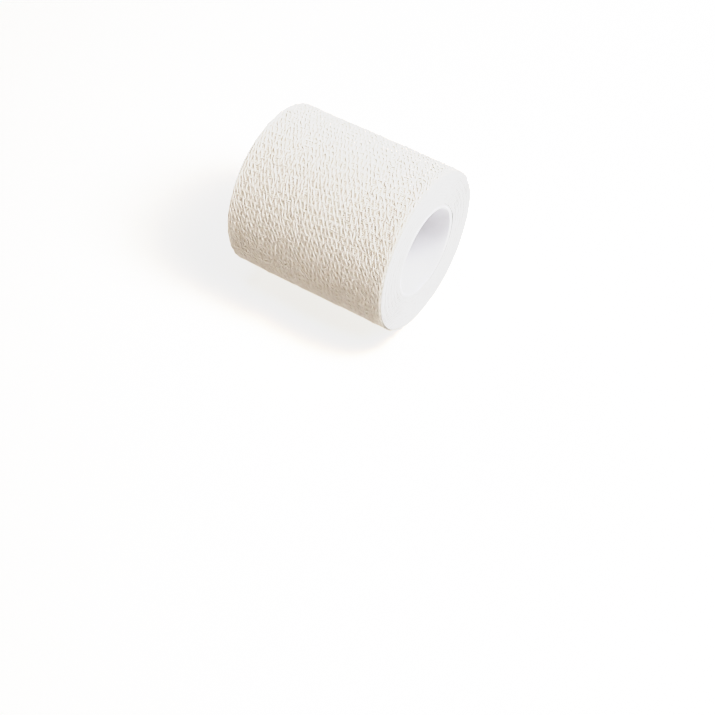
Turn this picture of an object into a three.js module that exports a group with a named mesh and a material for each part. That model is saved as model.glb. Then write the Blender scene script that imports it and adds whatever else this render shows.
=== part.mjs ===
// Cohesive bandage roll: a crinkled strip of cloth wound on a plain board tube, lying on its side.
// Millimetres, with Z up. X runs along the roll's axis, and the origin is on the floor under its middle.
import * as THREE from "three";
import { mergeVertices } from "three/addons/utils/BufferGeometryUtils.js";

// Driving dimensions of the wound strip
const stripWidth = 75;
const stripThickness = 0.575; // one turn, pressed by its neighbours
const rollDiameter = 71; // mean over the outermost turn
const edgeRounding = 1.1; // the soft shoulder where the outermost turns meet the roll's ends
const flatWidth = 12; // the strip of the outermost turn that the roll lies on
const tailAngle = THREE.MathUtils.degToRad(14); // where the cut end lies, up from +Y, behind the roll

// Driving dimensions of the core
const coreBore = 38;
const coreWall = 1.5;
const coreRecess = 0.4; // how far its ends lie inside the strip's edges
const coreEdge = 0.25; // its worn rims
const seatGap = 0.3; // between the core and the first turn

// Relief of the winding: the turns' edges lie in ridges of a few turns each
const ridgeTurns = 6;
const grooveDepth = 0.6;
const endLean = 0.3; // how unevenly the edges of the turns line up
const swell = 0.22; // how unevenly the strip is pulled tight

// Fineness of the surfaces
const stepsPerTurn = 72;
const sectionSteps = 16;

// Sizes that follow from these
const halfWidth = stripWidth / 2;
const coreRadius = coreBore / 2 + coreWall;
const firstRadius = coreRadius + seatGap;
const lastRadius = (rollDiameter - stripThickness) / 2; // just past the cut end
const ridgePitch = (lastRadius - edgeRounding - firstRadius) / ridgeTurns;
const axisHeight = Math.sqrt((rollDiameter / 2) ** 2 - (flatWidth / 2) ** 2);
const lastStep = ridgeTurns * stepsPerTurn;

const clothMaterial = new THREE.MeshStandardMaterial({
  color: 0xeee9de,
  roughness: 0.95,
  metalness: 0,
});
const boardMaterial = new THREE.MeshStandardMaterial({
  color: 0xe9e8e4,
  roughness: 0.8,
  metalness: 0,
});

// A point of the roll from its place along the axis, its radius and its angle up from +Y.
// The floor presses whatever would reach below it flat.
function rollPoint(x, radius, angle) {
  const y = radius * Math.cos(angle);
  const z = axisHeight + radius * Math.sin(angle);
  return new THREE.Vector3(x, y, Math.max(0, z));
}

// The winding is counted in steps from the first turn's end to the last turn's.
function stepAngle(step) {
  const inTurn = THREE.MathUtils.euclideanModulo(step, stepsPerTurn);
  return tailAngle + (2 * Math.PI * inTurn) / stepsPerTurn;
}

// Radius of the groove beside the winding: a circle at the core, a spiral through the roll,
// and then the outermost turn, which climbs by the strip's own thickness.
function grooveRadius(step) {
  const spiral = THREE.MathUtils.clamp(step, 0, lastStep);
  const outermost = Math.max(0, step - lastStep);
  return firstRadius + (ridgePitch * spiral + stripThickness * outermost) / stepsPerTurn;
}

function grooveDepthAt(step) {
  return grooveDepth * (1 - THREE.MathUtils.smoothstep(step, lastStep - stepsPerTurn, lastStep));
}

// Where the edges of the turns lie on the end at side -1 or 1, a little in from the full width.
function endPlane(side, radius, angle) {
  const around = Math.cos(angle - 1.1 * side + radius / 9);
  const across = Math.cos(2 * angle + radius / 5);
  return side * (halfWidth - endLean * (0.5 - 0.35 * around - 0.15 * across));
}

// How far the outermost turn stands off its mean radius.
function swellAt(x, angle) {
  const along = x / halfWidth;
  return (
    swell * 0.45 * Math.sin(2 * angle + 2.1 * along) +
    swell * 0.35 * Math.sin(3 * angle - 4.3 * along + 1.2) +
    swell * 0.2 * Math.sin(5 * angle + 7.1 * along)
  );
}

function groovePoint(side, step) {
  const radius = grooveRadius(step);
  const angle = stepAngle(step);
  const x = endPlane(side, radius, angle) - side * grooveDepthAt(step);
  return rollPoint(x, radius, angle);
}

// The crest between a groove and the same groove one turn further out. It rises from the core.
function crestPoint(side, step) {
  const inner = groovePoint(side, step);
  const outer = groovePoint(side, step + stepsPerTurn);
  const mean = (grooveDepthAt(step) + grooveDepthAt(step + stepsPerTurn)) / 2;
  const rise = Math.min(1, 1 + step / stepsPerTurn);
  const crest = inner.lerp(outer, 0.5);
  crest.x += side * mean * rise;
  return crest;
}

// Places across the outermost turn, from the end at -X to the end at +X: how far along the width,
// and how far in from the nearer end and down from the full radius on the shoulders.
function stripSection() {
  const shoulder = [
    { inset: 0, drop: 1 },
    { inset: 0.12, drop: 0.5 },
    { inset: 0.5, drop: 0.12 },
  ];
  const left = shoulder.map(({ inset, drop }) => ({ along: 0, inset, drop }));
  const right = shoulder.map(({ inset, drop }) => ({ along: 1, inset: -inset, drop }));
  const middle = Array.from({ length: sectionSteps + 1 }, (_, i) => ({
    along: i / sectionSteps,
    inset: 1 - (2 * i) / sectionSteps,
    drop: 0,
  }));
  return [...left, ...middle, ...right.reverse()];
}

function outerPoint(place, step) {
  const angle = stepAngle(step);
  const rim = grooveRadius(step);
  const full = rim + edgeRounding * (1 - place.drop);
  const from = endPlane(-1, rim, angle);
  const to = endPlane(1, rim, angle);
  const x = THREE.MathUtils.lerp(from, to, place.along) + edgeRounding * place.inset;
  return rollPoint(x, full + (1 - place.drop) * swellAt(x, angle), angle);
}

// Collects triangles into one closed geometry, leaving out those that have shrunk to a line.
class Skin {
  corners = [];

  triangle(a, b, c) {
    if (a.equals(b) || b.equals(c) || c.equals(a)) return;
    this.corners.push(a, b, c);
  }

  quad(a, b, c, d) {
    this.triangle(a, b, c);
    this.triangle(a, c, d);
  }

  // Faces between two rows of points. Seen from outside, looking along the rows, the second row
  // lies to the left of the first, or to the right where turned is true.
  strip(rowA, rowB, turned = false) {
    for (let i = 0; i + 1 < rowA.length; i += 1) {
      if (turned) this.quad(rowA[i], rowB[i], rowB[i + 1], rowA[i + 1]);
      else this.quad(rowA[i], rowA[i + 1], rowB[i + 1], rowB[i]);
    }
  }

  geometry() {
    const shape = mergeVertices(new THREE.BufferGeometry().setFromPoints(this.corners), 1e-4);
    shape.computeVertexNormals();
    return shape;
  }
}

function windingEnd(skin, side) {
  for (let step = -stepsPerTurn; step < lastStep; step += 1) {
    const rows = [step, step + 1].map((at) => [
      groovePoint(side, at),
      crestPoint(side, at),
      groovePoint(side, at + stepsPerTurn),
    ]);
    skin.strip(rows[0], rows[1], side < 0);
  }
}

function makeBandage() {
  const skin = new Skin();
  windingEnd(skin, -1);
  windingEnd(skin, 1);

  const section = stripSection();
  const across = (step) => section.map((place) => outerPoint(place, step));
  for (let step = lastStep; step < lastStep + stepsPerTurn; step += 1) {
    skin.strip(across(step), across(step + 1), true);
  }

  // The cut end: a step one turn high across the whole width
  const under = across(lastStep);
  const over = across(lastStep + stepsPerTurn);
  const half = under.map((low, i) => low.clone().lerp(over[i], 0.5));
  skin.strip(under, half);
  skin.strip(half, over);

  // The first turn, round the core
  for (let step = 0; step < stepsPerTurn; step += 1) {
    const bore = [step, step + 1].map((at) => [
      groovePoint(-1, at - stepsPerTurn),
      groovePoint(1, at - stepsPerTurn),
    ]);
    skin.strip(bore[0], bore[1]);
  }

  const bandage = new THREE.Mesh(skin.geometry(), clothMaterial);
  bandage.name = "bandage";
  return bandage;
}

function makeCore() {
  const half = halfWidth - coreRecess;
  const bore = coreBore / 2;
  const profile = [
    [bore, -half + coreEdge],
    [bore + coreEdge, -half],
    [coreRadius - coreEdge, -half],
    [coreRadius, -half + coreEdge],
    [coreRadius, half - coreEdge],
    [coreRadius - coreEdge, half],
    [bore + coreEdge, half],
    [bore, half - coreEdge],
    [bore, -half + coreEdge],
  ].map(([radius, along]) => new THREE.Vector2(radius, along));

  const core = new THREE.Mesh(new THREE.LatheGeometry(profile, stepsPerTurn), boardMaterial);
  core.name = "core";
  core.rotation.z = -Math.PI / 2;
  core.position.z = axisHeight;
  return core;
}

const roll = new THREE.Group();
roll.add(makeBandage(), makeCore());

export default roll;
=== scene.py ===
"""Cohesive bandage roll: the wound strip, the crimped yarns of its outermost turn, and its core.

Every cloth piece is made flat, as (across, along, lift) in millimetres on the strip, then wound.
"""

import math

import bpy
import numpy as np
from mathutils import Matrix, Vector


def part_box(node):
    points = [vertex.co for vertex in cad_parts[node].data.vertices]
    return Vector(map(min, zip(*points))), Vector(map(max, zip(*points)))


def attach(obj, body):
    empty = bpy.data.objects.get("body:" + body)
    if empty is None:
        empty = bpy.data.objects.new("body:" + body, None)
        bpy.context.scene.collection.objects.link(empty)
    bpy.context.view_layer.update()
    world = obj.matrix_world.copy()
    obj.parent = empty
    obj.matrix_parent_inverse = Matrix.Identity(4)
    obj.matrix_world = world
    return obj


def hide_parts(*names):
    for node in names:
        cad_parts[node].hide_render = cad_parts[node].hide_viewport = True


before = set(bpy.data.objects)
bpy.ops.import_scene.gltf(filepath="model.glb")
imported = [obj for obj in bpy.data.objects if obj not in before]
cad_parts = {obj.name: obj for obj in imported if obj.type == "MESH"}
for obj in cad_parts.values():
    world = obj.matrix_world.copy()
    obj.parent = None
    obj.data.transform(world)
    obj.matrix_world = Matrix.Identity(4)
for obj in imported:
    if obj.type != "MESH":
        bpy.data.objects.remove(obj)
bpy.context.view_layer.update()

MM = 0.001
TAU = 2 * math.pi
SEED = 31


# Sizes of the part, in millimetres

core_low, core_high = (np.array(corner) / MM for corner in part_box("core"))

AXIS_HEIGHT = (core_low[2] + core_high[2]) / 2
CORE_RADIUS = (core_high[1] - core_low[1]) / 2
CORE_HALF = (core_high[0] - core_low[0]) / 2
CORE_WALL = 1.5
HALF_WIDTH = 37.5
ROLL_DIAMETER = 71.0

# The winding. PITCH is one turn's thickness, and LAP is the outermost turn's length. The cut end
# lies at TAIL_ANGLE, up from +Y, behind the roll.
TURNS = 26
LAST_TURN = TURNS - 1
TAIL_ANGLE = math.radians(14)
CORE_GAP = 0.08
FIRST_RADIUS = CORE_RADIUS + CORE_GAP
PITCH = (ROLL_DIAMETER / 2 - FIRST_RADIUS) / (TURNS + 0.5)
LAP = TAU * (FIRST_RADIUS + PITCH * (TURNS - 0.5))
TURN_GAP = 0.03

# Over how many turns the step over the strip's own start fades, and how steep it is
CLING_TURNS = 20
CLIMB_POWER = 8

# The roll's ends: a round rim, ridges of a few turns each, and an uneven lean. Each lean wave has
# a share, a count round the roll, how far it is turned at each end, and over how much radius it
# turns by one radian.
SHOULDER = 1.6
SHOULDER_INSET = 0.6
RIDGE_TURNS = 6
RIDGE_PITCH = (ROLL_DIAMETER / 2 - PITCH / 2 - SHOULDER - FIRST_RADIUS) / RIDGE_TURNS
GROOVE_DEPTH = 0.15
END_LEAN = 0.3
LEAN_WAVES = ((0.35, 1, 1.1, 9), (0.15, 2, 0, 5))

# How unevenly the strip was pulled. Each broad wave has a share, a count round the roll, a slant
# and a phase. Each fine one has a count round a turn, and how far it drifts from turn to turn.
SWELL = 0.22
SWELL_WAVES = ((0.45, 2, 2.1, 0), (0.35, 3, -4.3, 1.2), (0.2, 5, 7.1, 0))
SWELL_START = 4
TURN_WAVE_HEIGHT = 0.02
TURN_WAVE_PHASE = 3
TURN_WAVES = ((7, 0.04), (11, -0.07), (17, 0.09), (26, -0.05), (41, 0.08))

# The floor's press: how far the yarns reach past the last turn, how deep the turns give way, and
# how softly. LEAST_SINE keeps the way to the floor finite round the upper half.
PROUD = 0.1
PRESS_DEPTH = 10.0
PRESS_SOFTNESS = 0.12
LEAST_SINE = 0.5

# The strip. Its last turn is thinner, below the yarns, from REVEAL on.
GROUND_LIFT = 0.16
VALLEY_DEPTH = 0.06
PUCKER_HEIGHT = 0.08
PUCKER_CONTRAST = 1.6
HELD_EDGE_POWER = 12
PLAIN_EDGE = 0.5
EDGE_ROUNDING = 0.1
REVEAL = (LAST_TURN - 0.02, LAST_TURN - 0.005)

# The weave: wales are pairs of lengthwise yarns, and rows are pairs of crosswise ones
OPEN_WALES = 34
WALE_PITCH = 2.07
SELVEDGE = (35.6, 36.75)
WALES = OPEN_WALES + 2 * len(SELVEDGE)
ROWS = 74
ROW_PITCH = LAP / ROWS
PICK_GAP = 0.5
PICK_INSET = 0.15
WEAVE_LIFT = 0.34
LEAST_LIFT = 0.2

# Half the width and half the height of each kind of yarn
WARP_SECTION = (0.42, 0.15)
WEFT_SECTION = (0.3, 0.16)

# How two partners twist round each other, and how the strands of each yarn do
TWIST_REACH = 0.6
SELVEDGE_REACH = 0.5
TWIST_HEIGHT = 0.15
TWIST_SHIFT = 0.16
STRANDS = 8
TWIST_LENGTH = 2.6

# How things wander: the height of each wander, and the lengths of its waves. Each yarn's own
# lengths, and those of each field of ripples, are spread between two shares of these.
REACH_WANDER = (0.2, (5, 11))
PAIR_WANDER = (0.14, (5.4, 6.8, 12))
WARP_WANDER = (0.06, (1.9, 3.1))
WARP_LIFT_WANDER = (0.05, (2.3, 3.7, 6))
WARP_SLUBS = (0.2, (2.6, 7))
WEFT_WANDER = (0.12, (2.1, 4.7, 13))
WEFT_LIFT_WANDER = (0.05, (2.1, 3.3))
WEFT_SLUBS = (0.2, (3, 8))
FRAY_WANDER = (0.35, (4,))
EDGE_WANDER = (0.07, (1.7, 2.9, 7.0, 23.0))
EDGE_WAVES_PER_TURN = 60
WAVE_SPREAD = (0.8, 1.25)
RIPPLE_SPREAD = (0.7, 1.5)

# The cut end. The yarns start LEAD_IN below it, stick out past it by FRAY, droop and thin out.
LEAD_IN = 4
FRAY = (0.1, 1.3)
FRAY_DROOP = 0.25
FRAY_THINNING = 0.5
FRAY_TAPER = 1.2

# The board tube's rims, and the seam of its wound paper. Each point of the seam's section has a
# place and a depth.
CORE_RIM = 0.22
SEAM_LEAD = 96.0
SEAM_WIDTH = 0.5
SEAM_DEPTH = 0.1
SEAM_SECTION = ((-1, 0), (-0.4, 0.55), (0, 1), (0.4, 0.55), (1, 0))


# Fineness of the meshes. The finest part of the strip starts FINE_LEAD before the last turn.

EDGE_POINTS, TOP_POINTS, UNDER_POINTS = 5, 72, 10
STEPS_PER_TURN, FINE_STEPS_PER_TURN = 150, 300
FINE_LEAD = 0.04
WARP_STEPS, WARP_SIDES = 460, 5
WEFT_STEPS, WEFT_SIDES = 116, 4
CORE_COLUMNS, CORE_ROWS, CORE_RIM_STEPS = 150, 36, 4

# The OFBake map has a lane for each yarn or turn. These keep the lanes and their ends apart, and
# ROUNDING keeps a section at the start of a turn in its own lane.
BAKE_MARGIN = 0.002
YARN_LANE_MARGIN = 0.1
TURN_LANE_MARGIN = 0.04
ROUNDING = 1e-6


# Waves and noise


def smoothstep(value, low, high):
    t = np.clip((value - low) / (high - low), 0, 1)
    return t * t * (3 - 2 * t)


def waves(rng, count, along, wander):
    """Smooth random waves, one row for each of count yarns."""
    height, lengths = wander
    total = np.zeros(np.broadcast_shapes((count, 1), np.shape(along)))
    for length in lengths:
        own = length * rng.uniform(*WAVE_SPREAD, (count, 1))
        total += np.sin(TAU * along / own + rng.uniform(0, TAU, (count, 1)))
    return height * (total / math.sqrt(len(lengths)))


class Ripples:
    """A smooth random height over the flat strip, made of plane waves in all directions."""

    def __init__(self, seed, height, length, count=14, stretch=1.0):
        rng = np.random.default_rng(seed)
        direction = rng.uniform(0, TAU, count)
        size = TAU / (length * rng.uniform(*RIPPLE_SPREAD, count))
        self.height = height
        self.across = size * np.cos(direction)
        self.along = size * np.sin(direction) / stretch
        self.phase = rng.uniform(0, TAU, count)

    def __call__(self, across, along):
        total = 0
        for a, b, phase in zip(self.across, self.along, self.phase):
            total = total + np.sin(a * across + b * along + phase)
        return self.height * (total / math.sqrt(len(self.phase)))


PUCKERS = Ripples(SEED + 1, height=PUCKER_CONTRAST, length=5.5, stretch=1.3)
ROW_WAVES = Ripples(SEED + 2, height=0.5, length=34)
DRIFT_ACROSS = Ripples(SEED + 4, height=0.22, length=6.5, count=20)
DRIFT_ALONG = Ripples(SEED + 5, height=0.3, length=9, count=20)
KINKS_ACROSS = Ripples(SEED + 6, height=0.11, length=3.1, count=24)
KINKS_ALONG = Ripples(SEED + 7, height=0.16, length=3.6, count=24)


def pucker(across, along):
    """How far the relaxed mesh has buckled off the turn below."""
    return PUCKER_HEIGHT * np.logaddexp(0, PUCKERS(across, along))


def crinkle(across, along):
    """Moves places on the flat strip as the elastic crinkles the mesh, but not at its edges."""
    inside = 1 - np.abs(np.clip(across / HALF_WIDTH, -1, 1)) ** HELD_EDGE_POWER
    drift_across = DRIFT_ACROSS(across, along) + KINKS_ACROSS(across, along)
    drift_along = DRIFT_ALONG(across, along) + KINKS_ALONG(across, along)
    rows = ROW_WAVES(across, along)
    return across + inside * drift_across, along + inside * drift_along + rows


# The winding


def end_inset(side, radius, angle, spiral):
    """How far in from the full width the edges lie: uneven, in ridges, and round at the rim."""
    lean = 0.5
    for share, count, turned, length in LEAN_WAVES:
        lean = lean - share * np.cos(count * angle - turned * side + radius / length)
    fade = 1 - smoothstep(spiral, RIDGE_TURNS - 1, RIDGE_TURNS)
    groove = GROOVE_DEPTH * np.abs(1 - 2 * (spiral % 1)) * fade
    rim = np.clip(radius - (ROLL_DIAMETER / 2 - SHOULDER), 0, SHOULDER)
    shoulder = SHOULDER - np.sqrt(SHOULDER**2 - rim**2)
    return END_LEAN * lean + groove + SHOULDER_INSET * shoulder


def swell_at(across, turn, angle):
    """How far the turns stand off a true spiral, where the strip was pulled less or more tight."""
    u = across / HALF_WIDTH
    broad = sum(
        share * np.sin(count * angle + slant * u + phase)
        for share, count, slant, phase in SWELL_WAVES
    )
    fine = sum(
        np.sin(TAU * (count + drift) * turn + TURN_WAVE_PHASE * count)
        for count, drift in TURN_WAVES
    )
    broad = SWELL * smoothstep(turn, SWELL_START, LAST_TURN) * broad
    return broad + TURN_WAVE_HEIGHT * fine * smoothstep(turn, 0, SWELL_START)


def climb(turn):
    """Thicknesses below a place. The inner turns cling to the core, then climb over the start."""
    in_turn = turn % 1
    cling = np.clip(1 - turn / CLING_TURNS, 0, 1)
    return turn - cling * (in_turn - in_turn**CLIMB_POWER)


def press(radius, across, turn, angle):
    """The radii after the floor has flattened the outermost turn, and the turns below it less."""
    rim_turn = LAST_TURN + turn % 1
    top = FIRST_RADIUS + PITCH * (rim_turn + 1) + PROUD + swell_at(across, rim_turn, angle)
    room = AXIS_HEIGHT / np.maximum(-np.sin(angle), LEAST_SINE)
    pressed = room - PRESS_SOFTNESS * np.logaddexp(0, (room - top) / PRESS_SOFTNESS)
    start = top - PRESS_DEPTH
    share = (pressed - start) / PRESS_DEPTH
    return np.where(radius > start, start + (radius - start) * np.minimum(share, 1), radius)


def wind(across, turn, lift):
    """Points of the roll, in metres, from places on the flat strip. turn counts from the core."""
    across, turn, lift = np.broadcast_arrays(across, turn, lift)
    angle = TAIL_ANGLE + TAU * turn
    middle = FIRST_RADIUS + PITCH * (turn + 0.5)
    spiral = (middle - FIRST_RADIUS) / RIDGE_PITCH - turn % 1
    low = -HALF_WIDTH + end_inset(-1, middle, angle, spiral)
    high = HALF_WIDTH - end_inset(1, middle, angle, spiral)
    x = low + (high - low) * (across + HALF_WIDTH) / (2 * HALF_WIDTH)

    radius = FIRST_RADIUS + PITCH * climb(turn) + lift + swell_at(across, turn, angle)
    radius = press(radius, across, turn, angle)
    y = radius * np.cos(angle)
    z = AXIS_HEIGHT + radius * np.sin(angle)
    return np.stack([x, y, np.maximum(z, 0)], -1) * MM


def wind_flat(points):
    """Winds points (across, along, lift) that lie on the outermost turn."""
    across, along, lift = np.moveaxis(points, -1, 0)
    return wind(across, LAST_TURN + along / LAP, lift)


# Meshes


def within(share, margin):
    """Shares from 0 to 1, drawn in by this margin from both ends."""
    return margin + (1 - 2 * margin) * share


def make_piece(name, points, faces, maps, material):
    """A smooth mesh of these points, in metres, and faces, with UV maps given corner by corner."""
    mesh = bpy.data.meshes.new(name)
    mesh.from_pydata(points.reshape(-1, 3).tolist(), [], faces)
    for map_name, corners in maps.items():
        layer = mesh.uv_layers.new(name=map_name)
        layer.uv.foreach_set("vector", np.asarray(corners, np.float32).ravel())
    mesh.shade_smooth()
    mesh.materials.append(material)
    piece = bpy.data.objects.new(name, mesh)
    bpy.context.scene.collection.objects.link(piece)
    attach(piece, "root")
    return piece


def ring_faces(count, steps, sides):
    """Quads of count closed tubes: the vertex numbers, and each corner's (tube, step, side)."""
    tube, step, side = np.meshgrid(
        np.arange(count), np.arange(steps - 1), np.arange(sides), indexing="ij"
    )
    corners = np.stack(
        [
            np.stack([tube, step, side], -1),
            np.stack([tube, step, side + 1], -1),
            np.stack([tube, step + 1, side + 1], -1),
            np.stack([tube, step + 1, side], -1),
        ],
        axis=-2,
    ).reshape(-1, 4, 3)
    numbers = (corners[..., 0] * steps + corners[..., 1]) * sides + corners[..., 2] % sides
    return numbers, corners


def tube_rings(centres, section, thickness, sides):
    """Rings round flat centre lines (tube, step, 3). The sections lie flat on the strip."""
    half_width, half_height = (size * thickness[:, :, None, None] for size in section)
    tangent = np.gradient(centres, axis=1)
    tangent /= np.linalg.norm(tangent, axis=-1, keepdims=True)
    sideways = np.cross(tangent, [0, 0, 1.0])
    sideways /= np.linalg.norm(sideways, axis=-1, keepdims=True)
    upright = np.cross(sideways, tangent)
    turn = (TAU * (np.arange(sides) + 0.5) / sides)[:, None]
    out = np.cos(turn) * sideways[:, :, None] * half_width
    up = np.sin(turn) * upright[:, :, None] * half_height
    return centres[:, :, None] + out + up


def tube_piece(name, centres, section, thickness, sides, material):
    """Yarns along flat centre lines, wound on the outermost turn, as one joined mesh."""
    count, steps = centres.shape[:2]
    length = np.linalg.norm(np.diff(centres, axis=1), axis=-1).sum(1).mean()
    walls, corners = ring_faces(count, steps, sides)
    tube, step, side = np.moveaxis(corners, -1, 0).astype(float)
    along = step / (steps - 1)
    lane = (tube + within(side / sides, YARN_LANE_MARGIN)) / count
    bake = np.stack([lane, within(along, BAKE_MARGIN)], -1)
    twist = np.stack([side / sides, along * length], -1)

    first = (np.arange(count) * steps * sides)[:, None]
    around = np.arange(sides)
    caps = [*(first + around[::-1]), *(first + (steps - 1) * sides + around)]
    cap_lane = np.repeat((np.tile(np.arange(count), 2) + 0.5) / count, sides)
    cap_along = np.repeat([BAKE_MARGIN, 1 - BAKE_MARGIN], count * sides)
    cap_bake = np.stack([cap_lane, cap_along], -1)

    faces = [*walls.tolist(), *(cap.tolist() for cap in caps)]
    maps = {
        "OFBake": np.concatenate([bake.reshape(-1, 2), cap_bake]),
        "yarn": np.concatenate([twist.reshape(-1, 2), np.zeros_like(cap_bake)]),
    }
    points = wind_flat(tube_rings(centres, section, thickness, sides))
    return make_piece(name, points, faces, maps, material)


# The strip


def strip_sections():
    """The coarse and the fine section, as (across, level) round from the right edge's foot."""
    turn = np.linspace(-math.pi / 2, math.pi / 2, EDGE_POINTS)
    inset = EDGE_ROUNDING * (1 - np.cos(turn))
    right = [*zip(HALF_WIDTH - inset, 0.5 + 0.5 * np.sin(turn))]
    left = [(-across, level) for across, level in reversed(right)]
    flat = right[0][0]
    top = [(x, 1.0) for x in np.linspace(flat, -flat, TOP_POINTS + 2)[1:-1]]
    under = [(x, 0.0) for x in np.linspace(-flat, flat, UNDER_POINTS + 2)[1:-1]]
    return np.array([*right, *left]), np.array([*right, *top, *left, *under])


def strip_turns():
    """Where the strip's sections lie, in turns from the core, and how many of them are coarse."""
    last = LAST_TURN - FINE_LEAD
    near = last - 1
    coarse = np.linspace(0, near, int(near * STEPS_PER_TURN), endpoint=False)
    fine = np.linspace(near, last, STEPS_PER_TURN, endpoint=False)
    finest = np.linspace(last, TURNS, int((TURNS - last) * FINE_STEPS_PER_TURN))
    return np.concatenate([coarse, fine, finest]), len(coarse)


def wind_section(turn, section, jitter):
    """One section of the strip, wound. Its level is 0 on the lower face and 1 on the upper."""
    across, level = section.T
    along = (turn - LAST_TURN) * LAP
    valleys = np.cos(TAU * across / WALE_PITCH) * np.cos(math.pi * along / ROW_PITCH)
    relief = pucker(across, along) - VALLEY_DEPTH * valleys
    inner = np.abs(across) < HALF_WIDTH - PLAIN_EDGE
    ground = GROUND_LIFT + np.where(inner, relief, 0)
    low = TURN_GAP / 2
    full = PITCH - TURN_GAP / 2
    high = full + smoothstep(turn, *REVEAL) * (ground - full)
    side = (across > 0).astype(int)
    x = across + np.sign(across) * jitter[side] * ~inner
    return wind(x, turn, low + level * (high - low))


def joint_faces(ring, here, there):
    """Faces between a coarse section and a fine one, where only the edges' faces are alike."""
    step = there - here - UNDER_POINTS
    top = [(ring + 1, EDGE_POINTS - 1 + i) for i in range(step + 2)]
    under = [(ring + 1, there - UNDER_POINTS - 1 + i) for i in range(UNDER_POINTS + 2)]
    edges = [(i, i) for i in range(EDGE_POINTS - 1)]
    edges += [(EDGE_POINTS + i, EDGE_POINTS + step + i) for i, _ in edges]
    return [
        [(ring, EDGE_POINTS - 1), (ring, EDGE_POINTS), *reversed(top)],
        [(ring, here - 1), (ring, here), *reversed(under)],
        *([(ring, i), (ring, i + 1), (ring + 1, j + 1), (ring + 1, j)] for i, j in edges),
    ]


def strip_faces(counts):
    """Faces between rings of these counts of points, each corner as (ring, place round it)."""
    faces = []
    for ring, (here, there) in enumerate(zip(counts, counts[1:])):
        if here == there:
            for i in range(here):
                faces.append([(ring, i), (ring, i + 1), (ring + 1, i + 1), (ring + 1, i)])
        else:
            faces += joint_faces(ring, here, there)
    faces.append([(0, i) for i in reversed(range(counts[0]))])
    faces.append([(len(counts) - 1, i) for i in range(counts[-1])])
    return faces


def strip_maps(faces, turns, sections):
    """The strip's UV maps: a lane for each turn, and the place on the flat cloth."""
    bake, cloth = [], []
    for corners in faces:
        lane = min(int(turns[corners[0][0]] + ROUNDING), LAST_TURN)
        for ring, place in corners:
            count = len(sections[ring])
            u = (lane + within(place / count, TURN_LANE_MARGIN)) / TURNS
            bake.append((u, within(min(max(turns[ring] - lane, 0), 1), BAKE_MARGIN)))
            cloth.append((sections[ring][place % count, 0], (turns[ring] - LAST_TURN) * LAP))
    return {"OFBake": bake, "cloth": cloth}


def make_strip(material, top_material):
    """The whole strip from the core to the cut end, finer in the last two turns."""
    coarse, fine = strip_sections()
    turns, coarse_rings = strip_turns()
    sections = [coarse] * coarse_rings + [fine] * (len(turns) - coarse_rings)
    rng = np.random.default_rng(SEED + 3)
    jitter = waves(rng, 2, turns[None] * EDGE_WAVES_PER_TURN, EDGE_WANDER)
    rings = [wind_section(*ring) for ring in zip(turns, sections, jitter.T)]

    counts = [len(section) for section in sections]
    first = np.concatenate([[0], np.cumsum(counts)]).tolist()
    corners = strip_faces(counts)
    faces = [[first[ring] + place % counts[ring] for ring, place in face] for face in corners]
    maps = strip_maps(corners, turns, sections)
    points = np.concatenate(rings)
    strip = make_piece("bandage_strip", points, faces, maps, material)

    strip.data.materials.append(top_material)
    top = range(EDGE_POINTS - 1, EDGE_POINTS + TOP_POINTS + 1)
    on_top = [all(ring >= coarse_rings and i in top for ring, i in face) for face in corners]
    strip.data.polygons.foreach_set("material_index", np.array(on_top, np.int32))
    return strip


# The yarns of the outermost turn


def wale_places():
    """Where the pairs of lengthwise yarns run: evenly apart, and close together at both edges."""
    even = (np.arange(OPEN_WALES) + 0.5 - OPEN_WALES / 2) * WALE_PITCH
    close = np.array(SELVEDGE)
    return np.concatenate([-close[::-1], even, close])[:, None]


def make_warp(name, partner, material):
    """The lengthwise yarns. Two partners twist round each other, half a turn between rows."""
    shared = np.random.default_rng(SEED + 10)
    own = np.random.default_rng(SEED + 11 + partner)
    places = wale_places()
    sign = 1 - 2 * partner
    length = LAP + LEAD_IN + own.uniform(*FRAY, (WALES, 1))
    along = -LEAD_IN + length * np.linspace(0, 1, WARP_STEPS)[None]
    shift = shared.normal(0, TWIST_SHIFT, (WALES, 1))
    phase = math.pi * (along / ROW_PITCH - 0.5 + shift)

    reach = TWIST_REACH * np.where(np.abs(places) < SELVEDGE[0], 1, SELVEDGE_REACH)
    reach = reach * (1 + waves(own, WALES, along, REACH_WANDER))
    across = places + waves(shared, WALES, along, PAIR_WANDER)
    across = across - sign * reach * np.cos(phase)
    across = across + waves(own, WALES, along, WARP_WANDER)
    lift = WEAVE_LIFT + sign * TWIST_HEIGHT * np.sin(phase)
    lift = lift + waves(own, WALES, along, WARP_LIFT_WANDER)

    past = np.clip(along - LAP, 0, None)
    across = across + past * waves(own, WALES, along, FRAY_WANDER)
    across, along = crinkle(across, along)
    lift = np.maximum(lift + pucker(across, along) - FRAY_DROOP * past, LEAST_LIFT)
    thickness = 1 + waves(own, WALES, along, WARP_SLUBS)
    thickness = thickness * (1 - FRAY_THINNING * smoothstep(past, 0, FRAY_TAPER))
    centres = np.stack([across, along, lift], -1)
    return tube_piece(name, centres, WARP_SECTION, thickness, WARP_SIDES, material)


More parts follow.
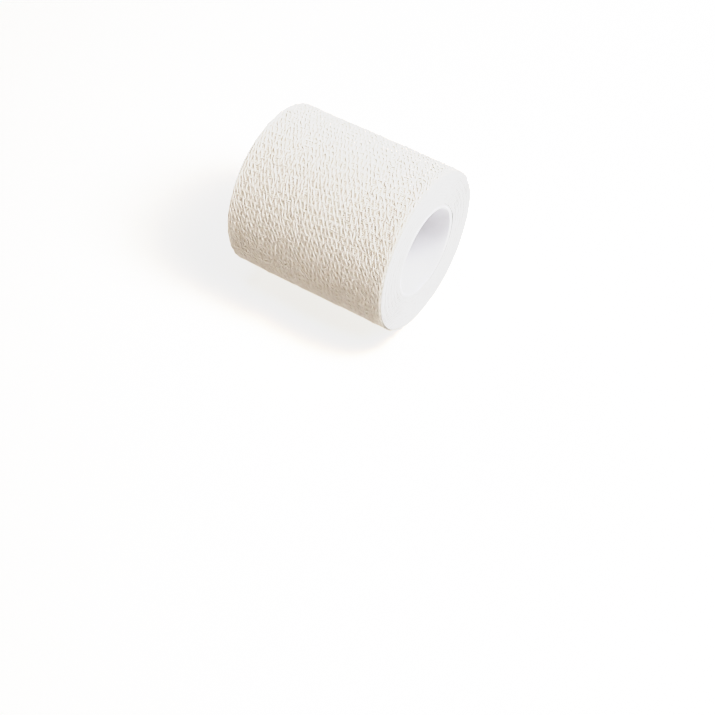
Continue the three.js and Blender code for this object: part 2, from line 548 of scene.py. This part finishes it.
def make_weft(material):
    """The crosswise yarns, two for each row, held where the partners lie side by side."""
    rng = np.random.default_rng(SEED + 20)
    yarns = 2 * ROWS
    rows = (np.arange(ROWS) + 0.5) * ROW_PITCH
    rows = (rows[:, None] + [-PICK_GAP / 2, PICK_GAP / 2]).reshape(-1, 1)
    across = (HALF_WIDTH - PICK_INSET) * np.linspace(-1, 1, WEFT_STEPS) + 0 * rows
    along = rows + waves(rng, yarns, across, WEFT_WANDER)
    lift = WEAVE_LIFT + waves(rng, yarns, across, WEFT_LIFT_WANDER)
    across, along = crinkle(across, along)
    lift = lift + pucker(across, along)
    thickness = 1 + waves(rng, yarns, across, WEFT_SLUBS)
    centres = np.stack([across, along, lift], -1)
    return tube_piece("bandage_weft", centres, WEFT_SECTION, thickness, WEFT_SIDES, material)


# The core


def core_profile():
    """The wall's section, through the bore and back outside: along, radius, and whether inside."""
    bore = CORE_RADIUS - CORE_WALL
    straight = CORE_HALF - CORE_RIM
    rim_turn = np.linspace(0, math.pi / 2, CORE_RIM_STEPS)[1:]
    rim = [*zip(straight + CORE_RIM * np.sin(rim_turn), CORE_RIM * (1 - np.cos(rim_turn)))]
    face = [(-along, drop) for along, drop in reversed(rim)]
    face += [(along, 0) for along in np.linspace(-straight, straight, CORE_ROWS)]
    face += rim
    inside = [(along, bore + drop, True) for along, drop in face]
    outside = [(along, CORE_RADIUS - drop, False) for along, drop in reversed(face)]
    return inside + outside


def make_core(material):
    """The board tube, with the shallow groove where the edges of its wound paper meet."""
    places, depths = np.array(SEAM_SECTION).T
    seam = places * SEAM_WIDTH / (CORE_RADIUS - CORE_WALL)
    regular = np.linspace(seam[-1], TAU + seam[0], CORE_COLUMNS)[1:-1]
    around = np.concatenate([seam, regular])
    dip = np.concatenate([SEAM_DEPTH * depths, np.zeros(len(regular))])

    profile = core_profile()
    points = []
    for along, level, inside in profile:
        angle = around + TAU * along / SEAM_LEAD
        radius = level + (dip if inside else -dip)
        height = AXIS_HEIGHT + radius * np.sin(angle)
        points.append(np.stack([np.full_like(angle, along), radius * np.cos(angle), height], -1))

    faces, bake = [], []
    rows, columns = len(profile), len(around)
    for i in range(rows):
        for j in range(columns):
            k, m = (i + 1) % rows, (j + 1) % columns
            faces.append([i * columns + j, k * columns + j, k * columns + m, i * columns + m])
            u, v = (i / rows, (i + 1) / rows), (j / columns, (j + 1) / columns)
            bake += [(u[0], v[0]), (u[1], v[0]), (u[1], v[1]), (u[0], v[1])]
    points = np.array(points) * MM
    return make_piece("core_tube", points, faces, {"OFBake": bake}, material)


# Materials

RAMP_PLACES = (0.3, 0.7)
YARN_PALE = (0.93, 0.905, 0.865)
YARN_WARM = (0.89, 0.855, 0.80)
# Painted shade: the turns' edges are greyer and darker than the yarn, for the shade among their
# packed fibre ends on the roll's ends.
SHADED_EDGE_PALE = (0.76, 0.755, 0.755)
SHADED_EDGE_WARM = (0.73, 0.72, 0.715)
# Painted shade: the ground is a little darker and warmer than the yarn, for the shade deep in the
# pits between the yarns.
SHADED_GROUND_PALE = (0.91, 0.88, 0.83)
SHADED_GROUND_WARM = (0.84, 0.795, 0.725)
BOARD_PALE = (0.88, 0.875, 0.895)
BOARD_GREY = (0.85, 0.845, 0.865)
FLOOR_PALE = (0.68, 0.69, 0.7)
FLOOR_GREY = (0.66, 0.67, 0.68)
FLOOR_GLOW = (1, 0.97, 0.93, 1)

# Blender's diagonal wave repeats each time x plus y grows by this
DIAGONAL_WAVE = 0.2 * math.pi

# Angles, in radians, of the yarns that show through from the turns below
GROUND_YARN_ANGLES = (1.2, -0.9)


class Nodes:
    """Adds nodes to a new material, whose shader's own sockets hold what is the same all over."""

    def __init__(self, name, **shader):
        self.material = bpy.data.materials.new(name)
        self.material.use_nodes = True
        self.tree = self.material.node_tree
        self.shader = self.tree.nodes["Principled BSDF"]
        for socket, value in shader.items():
            self.shader.inputs[socket.replace("_", " ")].default_value = value

    def add(self, kind, inputs=None, **settings):
        node = self.tree.nodes.new("ShaderNode" + kind)
        for key, value in settings.items():
            setattr(node, key, value)
        for socket, value in (inputs or {}).items():
            if isinstance(value, bpy.types.NodeSocket):
                self.tree.links.new(value, node.inputs[socket])
            else:
                node.inputs[socket].default_value = value
        return node

    def place(self):
        return self.add("TexCoord").outputs["Object"]

    def uv(self, name):
        return self.add("UVMap", uv_map=name).outputs["UV"]

    def noise(self, vector, scale, detail):
        inputs = {"Vector": vector, "Scale": scale, "Detail": detail}
        return self.add("TexNoise", inputs).outputs["Fac"]

    def ramp(self, value, low, high):
        """A colour that runs from low to high as value goes through the middle of its range."""
        node = self.add("ValToRGB", {"Fac": value})
        for element, place, colour in zip(node.color_ramp.elements, RAMP_PLACES, (low, high)):
            element.position = place
            element.color = (*colour, 1)
        return node.outputs["Color"]

    def wire(self, output, socket):
        self.tree.links.new(output, self.shader.inputs[socket])

    def bump(self, height, strength, depth_mm, below=None):
        inputs = {"Height": height, "Strength": strength, "Distance": depth_mm * MM}
        if below is not None:
            inputs["Normal"] = below
        return self.add("Bump", inputs).outputs["Normal"]


def yarn_material(name):
    """Soft cotton: twisted fibres along the yarn, with paler and warmer stretches."""
    m = Nodes(name, Roughness=0.9, Diffuse_Roughness=1, Sheen_Weight=0.25, Sheen_Roughness=0.5)
    place = m.place()
    stretches = m.noise(place, scale=320, detail=3)
    m.wire(m.ramp(stretches, YARN_WARM, YARN_PALE), "Base Color")
    scale = (DIAGONAL_WAVE * STRANDS, DIAGONAL_WAVE * STRANDS / TWIST_LENGTH, 0)
    turned = m.add("Mapping", {"Vector": m.uv("yarn"), "Scale": scale}).outputs["Vector"]
    inputs = {"Vector": turned, "Scale": 1, "Distortion": 3, "Detail": 3, "Detail Scale": 1.5}
    strands = m.add("TexWave", inputs, bands_direction="DIAGONAL").outputs["Fac"]
    normal = m.bump(strands, strength=0.5, depth_mm=0.08)
    fibres = m.noise(place, scale=2600, detail=3)
    normal = m.bump(fibres, strength=0.35, depth_mm=0.1, below=normal)
    m.wire(normal, "Normal")
    return m.material


def shaded_edge_material(name):
    """The edges of the turns, pressed together, in painted shade: greyer and darker than the yarn,
    for the shade among their packed fibre ends.
    """
    m = Nodes(name, Roughness=0.92, Diffuse_Roughness=1, Sheen_Weight=0.2, Sheen_Roughness=0.5)
    place = m.place()
    stretches = m.noise(place, scale=260, detail=4)
    m.wire(m.ramp(stretches, SHADED_EDGE_WARM, SHADED_EDGE_PALE), "Base Color")
    normal = m.bump(m.noise(place, scale=1900, detail=4), strength=0.5, depth_mm=0.15)
    lumps = m.noise(place, scale=620, detail=2)
    normal = m.bump(lumps, strength=0.4, depth_mm=0.3, below=normal)
    m.wire(normal, "Normal")
    return m.material


def ground_material(name):
    """What shows between the outermost yarns: the crossing yarns of the turns below, painted a
    little darker and warmer than the yarn as the shade deep in the pits.
    """
    m = Nodes(name, Roughness=0.92, Diffuse_Roughness=1, Sheen_Weight=0.2, Sheen_Roughness=0.5)
    place = m.place()
    stretches = m.noise(place, scale=420, detail=4)
    m.wire(m.ramp(stretches, SHADED_GROUND_WARM, SHADED_GROUND_PALE), "Base Color")
    cloth = m.uv("cloth")
    normal = m.bump(m.noise(place, scale=1900, detail=3), strength=0.3, depth_mm=0.1)
    for angle in GROUND_YARN_ANGLES:
        turned = m.add("Mapping", {"Vector": cloth, "Rotation": (0, 0, angle)}).outputs["Vector"]
        inputs = {"Vector": turned, "Scale": 0.42}
        inputs.update({"Distortion": 4, "Detail": 2, "Detail Scale": 2})
        yarns = m.add("TexWave", inputs).outputs["Fac"]
        normal = m.bump(yarns, strength=0.6, depth_mm=0.2, below=normal)
    m.wire(normal, "Normal")
    return m.material


def board_material(name):
    """Smooth white board with a faint paper grain."""
    m = Nodes(name, Roughness=0.72)
    place = m.place()
    stretches = m.noise(place, scale=140, detail=4)
    m.wire(m.ramp(stretches, BOARD_GREY, BOARD_PALE), "Base Color")
    grain = m.noise(place, scale=1500, detail=3)
    m.wire(m.bump(grain, strength=0.2, depth_mm=0.06), "Normal")
    return m.material


def floor_material(name):
    """A matt white floor that glows a little, so that it stays white round the roll."""
    m = Nodes(name, Roughness=0.9, Emission_Color=FLOOR_GLOW, Emission_Strength=0.57)
    stretches = m.noise(m.place(), scale=3, detail=2)
    m.wire(m.ramp(stretches, FLOOR_GREY, FLOOR_PALE), "Base Color")
    return m.material


# The stage, in metres and watts

FLOOR_HALF = 12.0
FLOOR_DROP = 0.0002

# Each lamp's name, place, size, power and colour
LAMPS = (
    ("key", (0.66, 0.1, 0.98), 0.9, 13.2, (0.97, 0.98, 1.0)),
    ("top", (-0.05, 0.1, 1.2), 0.9, 5.8, (0.97, 0.98, 1.0)),
    ("front", (-0.35, -1.1, 0.16), 0.5, 1.4, (1.0, 0.5, 0.15)),
    ("left", (-1.0, 0.4, 0.5), 0.6, 2.2, (1.0, 0.98, 0.95)),
)

# The sky's colours: below the first height, and above the second
SKY = ((0.22, (0.54, 0.5, 0.44)), (0.3, (0.03, 0.028, 0.025)))

# The tone curve: pairs of a brightness and how bright it is shown. It ends at TONE_END, beyond
# which the render no longer follows it.
TONE_END = 1.4
TONE = (
    (0.25, 0.2),
    (0.4, 0.405),
    (0.55, 0.6),
    (0.7, 0.75),
    (0.85, 0.835),
    (1.12, 0.885),
    (1.27, 0.985),
)


def make_camera():
    """The photograph's view, fitted to the outlines of the roll and of its bore."""
    side_px, focal_px, sensor = 715, 1500, 36.0
    turn, dip = math.radians(32.8), math.radians(50.83)
    right_mm, up_mm, ahead_mm = -3.154, 58.81, 623.81
    right = Vector((math.cos(turn), math.sin(turn), 0))
    level = Vector((-math.sin(turn), math.cos(turn), 0))
    ahead = level * math.cos(dip) - Vector((0, 0, math.sin(dip)))
    up = right.cross(ahead)
    centre = Vector((0, 0, AXIS_HEIGHT))
    data = bpy.data.cameras.new("photo_camera")
    data.sensor_width = sensor
    data.lens = sensor * focal_px / side_px
    data.clip_start, data.clip_end = 0.01, 20
    camera = bpy.data.objects.new("photo_camera", data)
    place = (centre - right * right_mm - up * up_mm - ahead * ahead_mm) * MM
    turned = Matrix((right, up, -ahead)).transposed().to_4x4()
    camera.matrix_world = Matrix.Translation(place) @ turned
    bpy.context.scene.collection.objects.link(camera)
    bpy.context.scene.camera = camera


def make_floor(material):
    """The floor, a hair below the roll and too wide for any view to show its edge."""
    mesh = bpy.data.meshes.new("floor")
    corners = [(FLOOR_HALF * x, FLOOR_HALF * y, 0) for x, y in ((-1, -1), (1, -1), (1, 1), (-1, 1))]
    mesh.from_pydata(corners, [], [(0, 1, 2, 3)])
    mesh.materials.append(material)
    floor = bpy.data.objects.new("floor", mesh)
    floor.location.z = -FLOOR_DROP
    bpy.context.scene.collection.objects.link(floor)


def make_lamp(name, place, size, power, colour):
    """A round lamp, aimed at the roll."""
    data = bpy.data.lights.new(name, "AREA")
    data.shape = "DISK"
    data.size = size
    data.energy = power
    data.color = colour
    lamp = bpy.data.objects.new(name, data)
    lamp.location = place
    aim = Vector((0, 0, AXIS_HEIGHT * MM)) - lamp.location
    lamp.rotation_mode = "QUATERNION"
    lamp.rotation_quaternion = aim.to_track_quat("-Z", "Y")
    bpy.context.scene.collection.objects.link(lamp)


def make_sky():
    """A pale horizon, and a darker sky that leaves the light to the lamps."""
    world = bpy.data.worlds.new("studio")
    world.use_nodes = True
    tree = world.node_tree
    direction = tree.nodes.new("ShaderNodeTexCoord").outputs["Generated"]
    height = tree.nodes.new("ShaderNodeSeparateXYZ")
    tree.links.new(direction, height.inputs[0])
    ramp = tree.nodes.new("ShaderNodeValToRGB")
    tree.links.new(height.outputs["Z"], ramp.inputs["Fac"])
    for element, (place, colour) in zip(ramp.color_ramp.elements, SKY):
        element.position = place
        element.color = (*colour, 1)
    tree.links.new(ramp.outputs["Color"], tree.nodes["Background"].inputs["Color"])
    bpy.context.scene.world = world


def set_tone():
    """The photograph's tone: crisp in the shade, while the roll's whites stay below full white."""
    view = bpy.context.scene.view_settings
    view.view_transform = "Standard"
    view.use_curve_mapping = True
    view.curve_mapping.white_level = (TONE_END, TONE_END, TONE_END)
    combined = view.curve_mapping.curves[3]
    for light, shown in TONE:
        combined.points.new(light / TONE_END, shown)
    for point in combined.points:
        point.handle_type = "AUTO_CLAMPED"
    view.curve_mapping.update()


make_camera()
set_tone()
make_sky()
for lamp in LAMPS:
    make_lamp(*lamp)
make_floor(floor_material("floor_paint"))

strip = make_strip(shaded_edge_material("cotton_edges_shaded"), ground_material("cotton_ground"))
yarn = yarn_material("cotton_yarn")
yarns = [
    make_warp("bandage_warp_over", 0, yarn),
    make_warp("bandage_warp_under", 1, yarn),
    make_weft(yarn),
]
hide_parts("bandage")
core = make_core(board_material("core_board"))
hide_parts("core")
